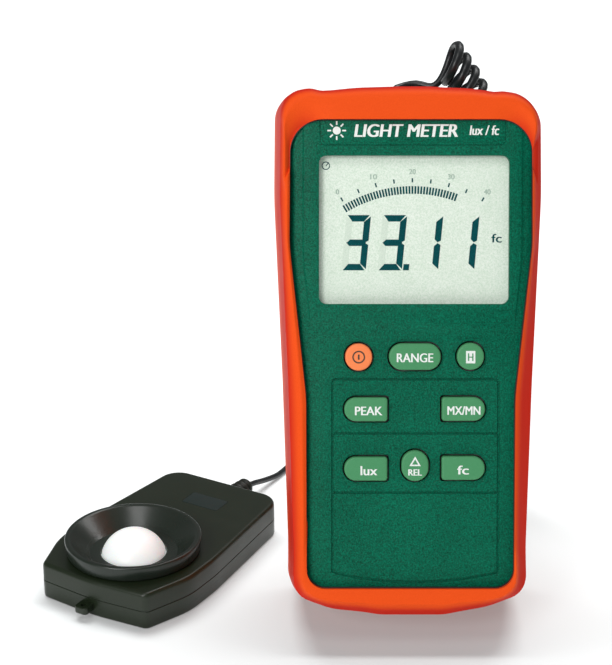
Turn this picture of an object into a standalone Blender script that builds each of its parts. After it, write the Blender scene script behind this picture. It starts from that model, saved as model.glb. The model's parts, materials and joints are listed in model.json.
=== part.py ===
"""A hand-held light meter in a rubber holster, leaning back on its tilt stand, with its sensor head on a curly lead.

Every size is in millimetres and becomes metres where a mesh or an object is made. Two empties carry the pieces:
the meter's frame leans back (x across, y into its depth with the face at -y, z up its length from the bottom), and the
head's frame is turned on the table (x towards its cord, z up). The row's origin is the middle of the footprint.
"""

import math

import bmesh
import bpy
from mathutils import Matrix, Vector

MM = 0.001

# Where things stand
LEAN = math.radians(20.0)  # the meter's lean from upright
METER_AT = (36.0, -29.4, 4.9)  # the bottom middle of the meter, half-way through its depth
HEAD_AT = (-48.4, -7.9, 0.0)  # the axis of the light collar, on the table
HEAD_TURN = math.radians(59.7)

# The meter's case
CASE_HALF_DEPTH = 17.5
CASE_WALL = 2.0
SPLIT_GAP = 0.15  # each half stops this far from the parting plane
FACE_ROUND = 3.2
CASE_CORNERS = [(10, 3.0, 20), (22, 5.4, 30), (31.6, 10.6, 6), (31.8, 64, 60), (36, 104, 60), (36, 149.6, 8), (18, 151.2, 90)]

# The rubber holster round it
HOLSTER_FRONT = -19.7
HOLSTER_CORNERS = [(10, 0, 20), (23, 2.6, 40), (35.1, 6.8, 7), (37.2, 68, 200), (39.7, 122, 150), (39.4, 152.8, 9),
                   (18, 153.8, 90)]
# Through the holster's depth: how far back, how wide beside the middle, and how far the edge is rounded in
HOLSTER_RINGS = [(HOLSTER_FRONT, 0.940, 1.4), (-19.3, 0.941, 0.5), (-18.3, 0.945, 0), (-10, 0.978, 0), (0, 1, 0),
                 (10, 0.992, 0), (17.6, 0.968, 0), (19.2, 0.962, 0.7), (20.0, 0.96, 2.0)]
FACE_OPENING = [(30, 8.2, 5.5), (30.2, 64, 60), (35.0, 108, 50), (34.8, 144.2, 9.5)]
FIT = 0.3  # the gap between pieces that touch
REAR_WINDOW_HALF = 24.9
REAR_WINDOW_Z = (3.4, 104.5)

# The display
DISPLAY_SIZE = (54.4, 42.4)
DISPLAY_Z = 112.6
DISPLAY_ROUND = 2.2

# The keys: name, x, z, width, height and shape of the hole; D shapes have their round end left or right
KEY_TRAVEL = 1.0
KEY_PROUD = 0.8
KEY_GAP = 0.35
KEYS = [
    ("key_power", -15.6, 75.6, 8.5, 8.5, "round", "key_orange"),
    ("key_range", 0.7, 75.7, 15.7, 8.4, "round", "key_green"),
    ("key_hold", 16.8, 75.8, 8.5, 8.5, "round", "key_green"),
    ("key_peak", -13.5, 60.4, 13.2, 7.6, "left", "key_green"),
    ("key_max_min", 14.8, 60.5, 13.2, 7.6, "right", "key_green"),
    ("key_lux", -13.5, 43.1, 13.2, 7.6, "left", "key_green"),
    ("key_relative", 0.8, 44.0, 8.5, 9.6, "round", "key_green"),
    ("key_footcandle", 14.8, 43.3, 13.2, 7.6, "right", "key_green"),
]

# The tilt stand
HINGE_Y = 19.9
HINGE_Z = 100.0
STAND_LENGTH = 95.0
STAND_HALF_WIDTH = 21.0
STAND_OPEN = math.radians(34.3)
BARREL_RADIUS = 2.2
PIN_RADIUS = 1.0

# The battery bay and its cover
BAY_HALF_WIDTH = 14.2
BAY_Z = (15.5, 68.5)
BAY_FLOOR = -4.7
COVER_HALF_WIDTH = 15.5
COVER_Z = (13.3, 76.5)
COVER_SCREW_Z = 72.8

# The sensor head
HEAD_HEIGHT = 12.0
HEAD_SPLIT = 6.0
HEAD_WALL = 1.8
HEAD_CORNERS = [(52.8, -21.6, 7), (52.6, 20.6, 7), (8, 25.2, 60), (-6, 25.0, 25), (-21.4, 19.4, 2.6),
                (-23.0, 0, 60), (-21.4, -19.4, 2.6), (-6, -25.0, 25), (8, -25.2, 60)]
COLLAR_RIM = (21.2, 17.0)
COLLAR_HOLE = 15.0
DOME_RADIUS = 9.8
DOME_TOP = 18.4

# The lead, in the row's frame
LEAD_RADIUS = 1.1
COIL_RADIUS = 6.5
GLAND_SEAT = (-4.0, 13.0, 146.7)  # in the meter's frame, on the sloping shoulder
GLAND_LENGTH = 9.0
TAIL_ROUTE = [(32.0, 47.8, 142.6), (33.8, 49.6, 143.8), (37.2, 50.8, 145.0), (41.0, 51.0, 146.3), (44.8, 49.4, 148.8)]
COIL_ROUTE = [(48.1, 46.8, 154.8), (53.9, 46.6, 146.4), (58.2, 46.6, 137), (62.4, 46.6, 122), (66.2, 46.6, 100),
              (67.4, 46.6, 75), (67.6, 46.8, 50), (66.8, 48.2, 28), (62.6, 53.3, 13.5), (53.9, 61.3, 7.6),
              (42.4, 68.3, 6.8), (29.4, 72.8, 6.8)]
STRAIGHT_ROUTE = [(27.4, 73.4, 6.6), (21.4, 76.4, 3.4), (13.4, 78.2, 1.35), (6.0, 77.4, 1.25), (1.2, 74.2, 1.25),
                  (-1.8, 69.4, 1.25), (-4.6, 64.0, 1.4), (-8.6, 57.6, 2.7), (-13.6, 48.8, 5.6)]


def clear_scene():
    for found in list(bpy.data.objects):
        bpy.data.objects.remove(found)


def collection(name):
    made = bpy.data.collections.new(name)
    bpy.context.scene.collection.children.link(made)
    return made


def material(name, colour, roughness, metallic=0.0):
    made = bpy.data.materials.new(name)
    made.use_nodes = True
    shader = made.node_tree.nodes["Principled BSDF"]
    shader.inputs["Base Color"].default_value = (*colour, 1)
    shader.inputs["Roughness"].default_value = roughness
    shader.inputs["Metallic"].default_value = metallic
    return made


clear_scene()
PARTS = collection("light_meter")
CUTTERS = collection("cutters")
MATERIALS = {
    "case_green": material("case_green", (0.01, 0.17, 0.10), 0.55),
    "holster_orange": material("holster_orange", (0.85, 0.10, 0.02), 0.5),
    "key_green": material("key_green", (0.10, 0.35, 0.17), 0.5),
    "key_orange": material("key_orange", (0.90, 0.25, 0.08), 0.5),
    "clear": material("clear", (0.85, 0.90, 0.88), 0.05),
    "display": material("display", (0.62, 0.70, 0.60), 0.4),
    "board": material("board", (0.02, 0.18, 0.07), 0.5),
    "black": material("black", (0.03, 0.03, 0.03), 0.5),
    "grey": material("grey", (0.30, 0.30, 0.30), 0.5),
    "white": material("white", (0.85, 0.85, 0.83), 0.45),
    "steel": material("steel", (0.55, 0.55, 0.57), 0.3, 1.0),
    "red": material("red", (0.60, 0.03, 0.03), 0.5),
    "filter_glass": material("filter_glass", (0.25, 0.50, 0.40), 0.1),
}


def empty(name, location, rotation):
    made = bpy.data.objects.new(name, None)
    PARTS.objects.link(made)
    made.location = [v * MM for v in location]
    made.rotation_euler = rotation
    return made


METER = empty("meter_frame", METER_AT, (-LEAN, 0, 0))
HEAD = empty("head_frame", HEAD_AT, (0, 0, HEAD_TURN))


def rounded(corners, step=22.5):
    """The closed outline through (x, y, radius) corners, with each one turned into an arc."""
    found = []
    for i, (x, y, radius) in enumerate(corners):
        here = Vector((x, y))
        before = Vector(corners[i - 1][:2]) - here
        after = Vector(corners[(i + 1) % len(corners)][:2]) - here
        reach = 0.49 * min(before.length, after.length)
        before.normalize()
        after.normalize()
        turn = math.pi - before.angle(after)
        if turn < 1e-4:
            found.append(here)
            continue
        tangent = min(radius * math.tan(turn / 2), reach)
        radius = tangent / math.tan(turn / 2)
        centre = here + (before + after).normalized() * (radius / math.cos(turn / 2))
        start = here + before * tangent - centre
        side = 1 if before.x * after.y - before.y * after.x < 0 else -1
        pieces = max(1, math.ceil(math.degrees(turn) / step))
        for k in range(pieces + 1):
            found.append(centre + Matrix.Rotation(side * turn * k / pieces, 2) @ start)
    return [(p.x, p.y) for p in found]


def both_sides(half):
    """Corners on +x, listed upwards, and their mirror images on -x."""
    return [*half, *[(-x, z, radius) for x, z, radius in reversed(half)]]


def grown(outline, by):
    """The outline moved outwards by a distance, or inwards by a negative one."""
    count = len(outline)
    points = [Vector(p) for p in outline]
    area = sum(points[i - 1].x * points[i].y - points[i].x * points[i - 1].y for i in range(count))
    found = []
    for i, here in enumerate(points):
        sides = [(here - points[i - 1]).normalized(), (points[(i + 1) % count] - here).normalized()]
        normals = [Vector((s.y, -s.x)) * (1 if area > 0 else -1) for s in sides]
        middle = (normals[0] + normals[1]).normalized()
        found.append(here + middle * (by / max(0.3, middle.dot(normals[0]))))
    return [(p.x, p.y) for p in found]


def rectangle(width, height, radius, x=0.0, z=0.0):
    right, left, top, low = x + width / 2, x - width / 2, z + height / 2, z - height / 2
    return rounded([(right, low, radius), (right, top, radius), (left, top, radius), (left, low, radius)], 30)


def circle(radius, x=0.0, z=0.0, sides=16):
    turns = [2 * math.pi * (k + 0.5) / sides for k in range(sides)]
    return [(x + radius * math.cos(t), z + radius * math.sin(t)) for t in turns]


def add(name, mesh, finish, parent, is_cutter=False, location=(0, 0, 0)):
    """Puts a mesh in the scene as a part or, hidden, as a cutter."""
    made = bpy.data.objects.new(name, mesh)
    (CUTTERS if is_cutter else PARTS).objects.link(made)
    made.parent = parent
    made.location = [v * MM for v in location]
    if is_cutter:
        made.hide_render = True
        made.display_type = "WIRE"
    else:
        mesh.materials.clear()
        mesh.materials.append(MATERIALS[finish])
    return made


def mesh_of(made):
    """A curve object as a mesh with its caps welded; the curve is removed."""
    bpy.context.view_layer.update()
    mesh = bpy.data.meshes.new_from_object(made.evaluated_get(bpy.context.evaluated_depsgraph_get()))
    bpy.data.objects.remove(made)
    work = bmesh.new()
    work.from_mesh(mesh)
    bmesh.ops.remove_doubles(work, verts=work.verts, dist=1e-6)
    bmesh.ops.dissolve_limit(work, angle_limit=0.001, verts=work.verts, edges=work.edges)
    bmesh.ops.recalc_face_normals(work, faces=work.faces)
    work.to_mesh(mesh)
    work.free()
    return mesh


def slab(name, outline, low, high, finish=None, parent=None, location=(0, 0, 0), flat=False):
    """An outline with thickness. It stands in x and z between two depths, or lies flat between two heights."""
    data = bpy.data.curves.new(name, "CURVE")
    data.dimensions = "2D"
    data.fill_mode = "BOTH"
    data.extrude = (high - low) / 2 * MM
    spline = data.splines.new("POLY")
    spline.points.add(len(outline) - 1)
    for point, (x, y) in zip(spline.points, outline):
        point.co = (x * MM, y * MM, 0, 1)
    spline.use_cyclic_u = True
    drawn = bpy.data.objects.new(name + "_curve", data)
    PARTS.objects.link(drawn)
    mesh = mesh_of(drawn)
    middle = (low + high) / 2 * MM
    if flat:
        mesh.transform(Matrix.Translation((0, 0, middle)))
    else:
        mesh.transform(Matrix.Translation((0, middle, 0)) @ Matrix.Rotation(math.pi / 2, 4, "X"))
    return add(name, mesh, finish, parent, finish is None, location)


def box(name, low, high, finish=None, parent=None, location=(0, 0, 0)):
    """A box between two corners."""
    mesh = bpy.data.meshes.new(name)
    work = bmesh.new()
    size = [(b - a) * MM for a, b in zip(low, high)]
    middle = [(a + b) / 2 * MM for a, b in zip(low, high)]
    bmesh.ops.create_cube(work, size=1, matrix=Matrix.Translation(middle) @ Matrix.Diagonal((*size, 1)))
    work.to_mesh(mesh)
    work.free()
    return add(name, mesh, finish, parent, finish is None, location)


def loft(name, rings, finish, parent):
    """A closed skin through rings of as many points each, with both ends filled."""
    mesh = bpy.data.meshes.new(name)
    work = bmesh.new()
    rows = [[work.verts.new([v * MM for v in point]) for point in ring] for ring in rings]
    for near, far in zip(rows, rows[1:]):
        for i in range(len(near)):
            work.faces.new((near[i - 1], near[i], far[i], far[i - 1]))
    work.faces.new(rows[0])
    work.faces.new(rows[-1])
    bmesh.ops.recalc_face_normals(work, faces=work.faces)
    work.to_mesh(mesh)
    work.free()
    return add(name, mesh, finish, parent)


def turn_of(axis, at=(0, 0, 0)):
    """The matrix that takes +z to an axis, at a point in millimetres."""
    turn = Vector((0, 0, 1)).rotation_difference(Vector(axis)).to_matrix().to_4x4()
    return Matrix.Translation([v * MM for v in at]) @ turn


def rod(name, start, end, radius, finish=None, parent=None, location=(0, 0, 0), sides=16):
    """A round bar between two points."""
    axis = Vector(end) - Vector(start)
    middle = (Vector(start) + Vector(end)) / 2
    mesh = bpy.data.meshes.new(name)
    work = bmesh.new()
    bmesh.ops.create_cone(work, cap_ends=True, segments=sides, radius1=radius * MM, radius2=radius * MM,
                          depth=axis.length * MM, matrix=turn_of(axis, middle))
    work.to_mesh(mesh)
    work.free()
    return add(name, mesh, finish, parent, finish is None, location)


def turned(name, profile, finish, parent, axis=(0, 0, 1), at=(0, 0, 0), steps=24):
    """A profile of (radius, height) points, down its outer side and back up inside, spun round an axis."""
    mesh = bpy.data.meshes.new(name)
    points = [(radius * MM, 0, height * MM) for radius, height in profile]
    closed = profile[0][0] > 0
    edges = [(i, i + 1) for i in range(len(points) - 1)] + ([(len(points) - 1, 0)] if closed else [])
    mesh.from_pydata(points, edges, [])
    made = add(name, mesh, finish, parent)
    made.matrix_local = turn_of(axis, at)
    screw = made.modifiers.new("turn", "SCREW")
    screw.steps = steps
    screw.render_steps = steps
    screw.use_merge_vertices = True
    screw.merge_threshold = 1e-6
    return made


def bevel(made, width, segments, chosen=None):
    """Rounds the edges whose two ends pass a test, or every sharp edge."""
    modifier = made.modifiers.new("round", "BEVEL")
    modifier.width = width * MM
    modifier.segments = segments
    modifier.use_clamp_overlap = True
    if chosen is None:
        modifier.limit_method = "ANGLE"
        modifier.angle_limit = math.radians(50)
        return
    modifier.limit_method = "WEIGHT"
    weights = made.data.attributes.new("bevel_weight_edge", "FLOAT", "EDGE")
    points = made.data.vertices
    for edge in made.data.edges:
        ends = [points[v].co / MM for v in edge.vertices]
        weights.data[edge.index].value = 1.0 if all(chosen(p) for p in ends) else 0.0


def boolean(made, operation, *others):
    for other in others:
        modifier = made.modifiers.new(other.name, "BOOLEAN")
        modifier.operation = operation
        modifier.object = other
        if other.name in PARTS.objects:
            PARTS.objects.unlink(other)
            CUTTERS.objects.link(other)
        other.hide_render = True
        other.display_type = "WIRE"


def tube(name, points, radius, finish, sides=2, parent=None):
    """A wire or cord along points, with filled ends. Its points are already close together."""
    data = bpy.data.curves.new(name, "CURVE")
    data.dimensions = "3D"
    data.bevel_depth = radius * MM
    data.bevel_resolution = sides
    data.use_fill_caps = True
    spline = data.splines.new("POLY")
    spline.points.add(len(points) - 1)
    for point, place in zip(spline.points, points):
        point.co = (*[v * MM for v in place], 1)
    made = bpy.data.objects.new(name, data)
    PARTS.objects.link(made)
    made.parent = parent
    data.materials.append(MATERIALS[finish])
    return made


def smooth_route(points, spacing):
    """Points about a spacing apart on the smooth curve through the route's own points."""
    route = [Vector(p) for p in points]
    ends = [2 * route[0] - route[1], *route, 2 * route[-1] - route[-2]]
    found = [route[0]]
    for a, b, c, d in zip(ends, ends[1:], ends[2:], ends[3:]):
        pieces = max(1, round((c - b).length / spacing))
        for k in range(1, pieces + 1):
            t = k / pieces
            found.append(0.5 * (2 * b + (c - a) * t + (2 * a - 5 * b + 4 * c - d) * t**2
                                + (3 * b - a - 3 * c + d) * t**3))
    return found


CASE = rounded(both_sides(CASE_CORNERS))
HOLSTER = rounded(both_sides(HOLSTER_CORNERS))
POSTS = [(31.0, 143.4), (-31.0, 143.4), (27.3, 17.0), (-27.3, 17.0)]
POST_RADIUS = 3.0
FLOOR = box("floor_cutter", (-200, -200, -40), (200, 200, 0))


def key_outline(width, height, shape, gap=0.0):
    """A key's outline round its own middle: a round or oblong key, or a D with its round end left or right."""
    width, height = width - 2 * gap, height - 2 * gap
    full = min(width, height) / 2
    left = full if shape in ("round", "left") else 0.8
    right = full if shape in ("round", "right") else 0.8
    x, z = width / 2, height / 2
    return rounded([(x, -z, right), (x, z, right), (-x, z, left), (-x, -z, left)], 22.5)


def moved(outline, x, z):
    return [(a + x, b + z) for a, b in outline]


def build_front_case():
    made = slab("front_case", CASE, -CASE_HALF_DEPTH, -SPLIT_GAP, "case_green", METER)
    bevel(made, FACE_ROUND, 3, lambda p: p.y < -CASE_HALF_DEPTH + 0.01)
    inside = slab("front_case_inside", grown(CASE, -CASE_WALL), CASE_WALL - CASE_HALF_DEPTH, 1, parent=METER)
    boolean(made, "DIFFERENCE", inside)
    for i, (x, z) in enumerate(POSTS):
        post = rod(f"front_post_{i}", (x, -CASE_HALF_DEPTH + 1, z), (x, -0.5, z), POST_RADIUS, parent=METER, sides=12)
        hole = rod(f"front_post_hole_{i}", (x, -9, z), (x, 2, z), 1.4, parent=METER, sides=8)
        boolean(made, "UNION", post)
        boolean(made, "DIFFERENCE", hole)
    window = rectangle(*DISPLAY_SIZE, DISPLAY_ROUND, 0, DISPLAY_Z)
    boolean(made, "DIFFERENCE", slab("display_hole", window, -25, -5, parent=METER))
    badge = rectangle(53.8, 7.9, 1.2, 0, 140.6)
    boolean(made, "DIFFERENCE", slab("badge_recess", badge, -25, -16.7, parent=METER))
    for name, x, z, width, height, shape, _ in KEYS:
        hole = moved(key_outline(width, height, shape), x, z)
        boolean(made, "DIFFERENCE", slab(name + "_hole", hole, -25, -5, parent=METER))


def build_rear_case():
    made = slab("rear_case", CASE, SPLIT_GAP, CASE_HALF_DEPTH, "case_green", METER)
    bevel(made, FACE_ROUND, 3, lambda p: p.y > CASE_HALF_DEPTH - 0.01)
    inside = slab("rear_case_inside", grown(CASE, -CASE_WALL), -1, CASE_HALF_DEPTH - CASE_WALL, parent=METER)
    boolean(made, "DIFFERENCE", inside)
    bay_wall = 3.0
    bay = box("bay_walls", (-BAY_HALF_WIDTH - bay_wall, BAY_FLOOR - 1.2, BAY_Z[0] - bay_wall),
              (BAY_HALF_WIDTH + bay_wall, 16.5, COVER_Z[1] + 1.5), parent=METER)
    boolean(made, "UNION", bay)
    shoulder = box("gland_block", (-13, 6, 136), (13, 16.5, 150), parent=METER)
    boolean(made, "UNION", shoulder)
    for side in (-1, 1):
        near, far = sorted((side * (STAND_HALF_WIDTH + FIT), side * (REAR_WINDOW_HALF - 0.6)))
        lug = box(f"lug_{side}", (near, 16, HINGE_Z - 2.4), (far, HINGE_Y + 2.4, HINGE_Z + 2.4), parent=METER)
        bevel(lug, 1.0, 2)
        boolean(made, "UNION", lug)
    for i, (x, z) in enumerate(POSTS):
        boolean(made, "UNION", rod(f"rear_post_{i}", (x, 0.5, z), (x, 16.2, z), POST_RADIUS, parent=METER, sides=12))
        boolean(made, "DIFFERENCE", rod(f"rear_hole_{i}", (x, -2, z), (x, 22, z), 1.4, parent=METER, sides=8),
                rod(f"rear_sink_{i}", (x, 14.6, z), (x, 22, z), 2.8, parent=METER, sides=12))
    cavity = box("bay_inside", (-BAY_HALF_WIDTH, BAY_FLOOR, BAY_Z[0]), (BAY_HALF_WIDTH, 25, BAY_Z[1]), parent=METER)
    seat = slab("cover_seat", rectangle(2 * COVER_HALF_WIDTH + 2 * FIT, COVER_Z[1] - COVER_Z[0] + 2 * FIT, 2,
                                        0, sum(COVER_Z) / 2), 15.5, 25, parent=METER)
    thread = rod("cover_thread", (0, 6, COVER_SCREW_Z), (0, 20, COVER_SCREW_Z), 1.5, parent=METER, sides=12)
    wires = box("wire_slot", (-6, BAY_FLOOR - 3, 65.2), (6, BAY_FLOOR + 1, 68), parent=METER)
    pin = rod("pin_hole", (-40, HINGE_Y, HINGE_Z), (40, HINGE_Y, HINGE_Z), PIN_RADIUS + FIT, parent=METER, sides=12)
    boolean(made, "DIFFERENCE", cavity, seat, thread, wires, pin)
    slope = box("shoulder_cut", (-10, 0, -20), (10, 20, 20), parent=METER)
    slope.matrix_local = Matrix.Translation([v * MM for v in GLAND_SEAT]) @ Matrix.Rotation(math.radians(45), 4, "X")
    hole = rod("gland_hole", (GLAND_SEAT[0], 2, GLAND_SEAT[2] - 11), (GLAND_SEAT[0], 22, GLAND_SEAT[2] + 9), 2.6,
               parent=METER, sides=12)
    boolean(made, "DIFFERENCE", slope, hole)


def build_holster():
    rings = []
    for depth, scale, inset in HOLSTER_RINGS:
        rings.append([(x * scale, depth, z) for x, z in grown(HOLSTER, -inset)])
    made = loft("holster", rings, "holster_orange", METER)
    deep = CASE_HALF_DEPTH + FIT
    inside = slab("holster_inside", grown(CASE, FIT), -deep, deep, parent=METER)
    bevel(inside, FACE_ROUND, 3, lambda p: abs(p.y) > deep - 0.01)
    face = slab("face_opening", rounded(both_sides(FACE_OPENING)), -30, -10, parent=METER)
    low, high = REAR_WINDOW_Z
    window = slab("rear_window", rectangle(2 * REAR_WINDOW_HALF, high - low, 2, 0, (low + high) / 2), 10, 30, parent=METER)
    notch = box("cord_notch", (-26, 3, 138), (26, 30, 170), parent=METER)
    boolean(made, "DIFFERENCE", inside, face, window, notch, FLOOR)


def build_display():
    slab("display_window", rectangle(53.8, 41.8, 2, 0, DISPLAY_Z), -17.1, -15.6, "clear", METER)
    slab("display_glass", rectangle(58, 46, 0.5, 0, DISPLAY_Z), -15.0, -12.8, "display", METER)
    frame = slab("display_frame", rectangle(63.4, 50.4, 1, 0, DISPLAY_Z), -15.2, -11.7, "black", METER)
    boolean(frame, "DIFFERENCE", slab("frame_hole", rectangle(58.6, 46.6, 0.6, 0, DISPLAY_Z), -20, -5, parent=METER))
    for name, z in (("elastomer_strip_upper", 132.6), ("elastomer_strip_lower", 92.6)):
        box(name, (-24, -12.5, z - 1), (24, -11.7, z + 1), "grey", METER)
    slab("badge_plate", rectangle(53.2, 7.3, 1, 0, 140.6), -17.45, -17.0, "case_green", METER)


def build_electronics():
    board = slab("circuit_board", rectangle(49, 118, 1.5, 0, 79), -11.4, -9.8, "board", METER)
    board_back = -9.5
    slab("keypad_mat", rectangle(48, 52, 2, 0, 58.5), -12.9, -12.0, "grey", METER)
    box("processor_chip", (-7, board_back, 103), (7, board_back + 1.6, 117), "black", METER)
    box("amplifier_chip", (8, board_back, 122), (17, board_back + 1.5, 127), "black", METER)
    rod("quartz_crystal", (13, -7.9, 96), (13, -7.9, 103), 1.5, "steel", METER, sides=12)
    rod("storage_capacitor", (-16, -6.4, 120), (-16, -6.4, 129), 3.0, "black", METER, sides=12)
    rod("buzzer", (-14, board_back, 88), (-14, board_back + 4.5, 88), 6.0, "black", METER, sides=20)
    return board


def build_battery():
    slab("battery", rectangle(26.4, 48.4, 1.5, 0, 40.2), -4.2, 13.3, "black", METER)
    slab("battery_snap", rectangle(25.0, 3.0, 0.6, 0, 66.4), -1.5, 10.5, "black", METER)
    for name, x, finish in (("battery_lead_red", 3.5, "red"), ("battery_lead_black", -3.5, "black")):
        route = smooth_route([(x, -1.8, 66.6), (x, -4.0, 66.7), (x, -6.4, 67.4), (x, -8.0, 69.0), (x, -9.5, 70.0)], 1.0)
        tube(name, route, 0.6, finish, 2, METER)
    middle = sum(COVER_Z) / 2
    cover = slab("battery_cover", rectangle(2 * COVER_HALF_WIDTH, COVER_Z[1] - COVER_Z[0], 2, 0, 0),
                 15.8 - CASE_HALF_DEPTH, 0.4, "case_green", METER, (0, CASE_HALF_DEPTH, middle))
    bevel(cover, 0.3, 1, lambda p: p.y > 0.39)
    screw_z = COVER_SCREW_Z - middle
    place = (0, CASE_HALF_DEPTH, middle)
    boolean(cover, "DIFFERENCE",
            rod("cover_hole", (0, -5, screw_z), (0, 5, screw_z), 1.6, parent=METER, location=place, sides=12),
            rod("cover_sink", (0, -0.9, screw_z), (0, 5, screw_z), 2.9, parent=METER, location=place, sides=16))
    for k in range(3):
        z = -26 + 2.6 * k
        groove = box(f"cover_grip_{k}", (-8, 0, z), (8, 2, z + 1.2), parent=METER, location=place)
        boolean(cover, "DIFFERENCE", groove)
    screw = screw_of("cover_screw", (0, CASE_HALF_DEPTH - 0.6, COVER_SCREW_Z), (0, 1, 0), METER, 2.5, 1.6, 1.2, 8.6)
    slot = box("cover_screw_slot", (-4, -0.35, 0.9), (4, 0.35, 3))
    slot.parent = screw
    boolean(screw, "DIFFERENCE", slot)


def screw_of(name, at, axis, parent, head_radius, head, shank_radius, shank, steps=16):
    """A pan-head screw whose head points along an axis; its origin is under the head."""
    profile = [(0, head), (head_radius * 0.8, head), (head_radius, head * 0.5), (head_radius, 0), (shank_radius, 0),
               (shank_radius, -shank + 1), (0, -shank)]
    return turned(name, profile, "steel", parent, axis, at, steps)


def build_keys():
    """Each key is a cap with a flange inside the case that keeps it in; its origin is on the face."""
    for name, x, z, width, height, shape, finish in KEYS:
        place = (x, -CASE_HALF_DEPTH, z)
        cap = slab(name, key_outline(width, height, shape, KEY_GAP), -KEY_PROUD, 2.9, finish, METER, place)
        bevel(cap, 0.45, 1, lambda p: p.y < 0.01 - KEY_PROUD)
        flange = slab(name + "_flange", key_outline(width, height, shape, -0.8), 2.3, 3.3, parent=METER, location=place)
        boolean(cap, "UNION", flange)


def build_stand():
    """The stand folds into the holster's rear window; its origin is on the hinge."""
    inner_top, inner_low, leg = -7.0, -STAND_LENGTH + 7.5, 4.8
    outline = rectangle(2 * STAND_HALF_WIDTH, STAND_LENGTH + 0.6, 3, 0, -(STAND_LENGTH + 0.6) / 2)
    made = slab("tilt_stand", outline, -1.9, 0.5, "holster_orange", METER)
    bevel(made, 0.5, 1)
    gap = rectangle(2 * (STAND_HALF_WIDTH - leg), inner_top - inner_low, 2, 0, (inner_top + inner_low) / 2)
    opening = slab("stand_opening", gap, -10, 10)
    barrel = rod("stand_barrel", (-STAND_HALF_WIDTH, 0, 0), (STAND_HALF_WIDTH, 0, 0), BARREL_RADIUS, sides=16)
    bore = rod("stand_bore", (-30, 0, 0), (30, 0, 0), PIN_RADIUS + FIT, sides=12)
    for helper in (opening, barrel, bore):
        helper.parent = made
    boolean(made, "UNION", barrel)
    boolean(made, "DIFFERENCE", opening, bore, FLOOR)
    made.location = (0, HINGE_Y * MM, HINGE_Z * MM)
    made.rotation_euler = (STAND_OPEN, 0, 0)
    rod("stand_hinge_pin", (0.6 - REAR_WINDOW_HALF, HINGE_Y, HINGE_Z), (REAR_WINDOW_HALF - 0.6, HINGE_Y, HINGE_Z),
        PIN_RADIUS, "steel", METER, sides=12)


def ribbed(root_radius, end_radius, length, ribs, stem_radius, stem):
    """The profile of a strain relief: a ribbed, tapering body with a stem that goes into the housing."""
    found = [(0, length), (end_radius - 0.4, length), (end_radius, length - 0.5)]
    pitch = (length - 1.0) / ribs
    for k in range(ribs):
        height = length - 0.5 - pitch * k
        radius = end_radius + (root_radius - end_radius) * (k + 1) / ribs
        found += [(radius, height - pitch * 0.45), (radius - 0.6, height - pitch * 0.6), (radius - 0.6, height - pitch)]
    return [*found, (root_radius, 0), (stem_radius, 0), (stem_radius, -stem), (0, -stem)]


def build_lead():
    axis = (0, 1, 1)
    seat = Vector(GLAND_SEAT) + Vector(axis).normalized() * FIT
    turned("lead_gland", ribbed(3.4, 2.2, GLAND_LENGTH, 3, 2.3, 6.0), "black", METER, axis, seat, 16)
    tube("lead_tail", smooth_route(TAIL_ROUTE, 2.2), LEAD_RADIUS, "black")
    tube("lead_coil", smooth_route(COIL_ROUTE, 6.0), COIL_RADIUS, "black", 3)
    tube("lead_straight", smooth_route(STRAIGHT_ROUTE, 3.0), LEAD_RADIUS, "black")


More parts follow.
